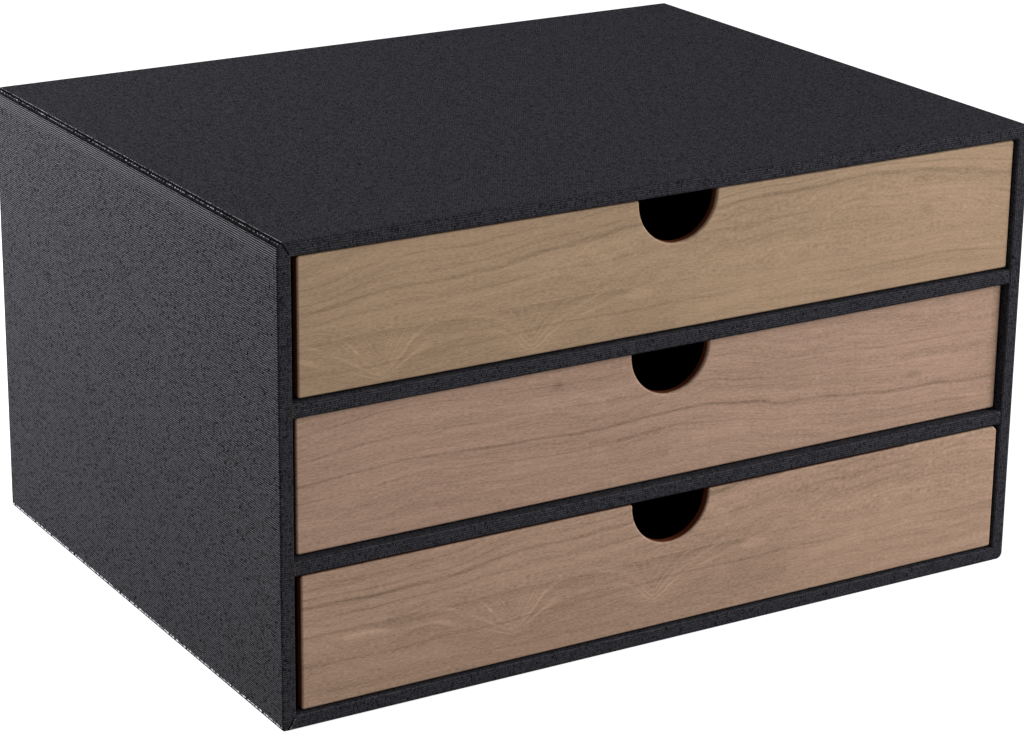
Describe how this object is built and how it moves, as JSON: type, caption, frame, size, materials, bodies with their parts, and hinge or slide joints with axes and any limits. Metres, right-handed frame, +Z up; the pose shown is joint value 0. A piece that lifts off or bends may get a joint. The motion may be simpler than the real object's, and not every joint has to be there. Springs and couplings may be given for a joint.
{
  "type": "desktop mini drawers",
  "caption": "Low desktop chest of sliding trays in a canvas-covered board case, with plain wood-look fronts and half-round finger notches.",
  "frame": {"origin": "under the middle of the case, on the surface that it stands on", "axes": "+X to the right seen from the drawer fronts, +Y from the fronts to the back, +Z up"},
  "size_m": [0.333, 0.255, 0.185],
  "materials": {
    "fibreboard": "matte",
    "canvas_paper": "matte",
    "back_paper": "matte",
    "inner_paper": "matte",
    "tray_paper": "matte",
    "walnut_look_paper": "satin"
  },
  "bodies": {
    "case": {"case_top_board": "fibreboard", "case_bottom_board": "fibreboard", "case_left_board": "fibreboard", "case_right_board": "fibreboard", "case_back_board": "fibreboard", "case_wrap": "canvas_paper", "left_side_cover": "canvas_paper", "back_cover": "back_paper", "base_sheet": "back_paper", "case_lining": "inner_paper", "lower_shelf_board": "fibreboard", "lower_shelf_wrap": "canvas_paper", "upper_shelf_board": "fibreboard", "upper_shelf_wrap": "canvas_paper"},
    "top_drawer": {"top_drawer_front_board": "fibreboard", "top_drawer_front_foil": "walnut_look_paper", "top_drawer_left_side": "fibreboard", "top_drawer_right_side": "fibreboard", "top_drawer_back": "fibreboard", "top_drawer_bottom": "fibreboard", "top_drawer_cover": "tray_paper", "top_drawer_lining": "tray_paper"},
    "middle_drawer": {"middle_drawer_front_board": "fibreboard", "middle_drawer_front_foil": "walnut_look_paper", "middle_drawer_left_side": "fibreboard", "middle_drawer_right_side": "fibreboard", "middle_drawer_back": "fibreboard", "middle_drawer_bottom": "fibreboard", "middle_drawer_cover": "tray_paper", "middle_drawer_lining": "tray_paper"},
    "bottom_drawer": {"bottom_drawer_front_board": "fibreboard", "bottom_drawer_front_foil": "walnut_look_paper", "bottom_drawer_left_side": "fibreboard", "bottom_drawer_right_side": "fibreboard", "bottom_drawer_back": "fibreboard", "bottom_drawer_bottom": "fibreboard", "bottom_drawer_cover": "tray_paper", "bottom_drawer_lining": "tray_paper"}
  },
  "joints": [
    {"name": "top_drawer_slide", "type": "slide", "parent": "case", "child": "top_drawer", "axis": [0, -1, 0], "range_m": [-0.0016, 0.2]},
    {"name": "middle_drawer_slide", "type": "slide", "parent": "case", "child": "middle_drawer", "axis": [0, -1, 0], "range_m": [0, 0.2]},
    {"name": "bottom_drawer_slide", "type": "slide", "parent": "case", "child": "bottom_drawer", "axis": [0, -1, 0], "range_m": [-0.0023, 0.2]}
  ]
}
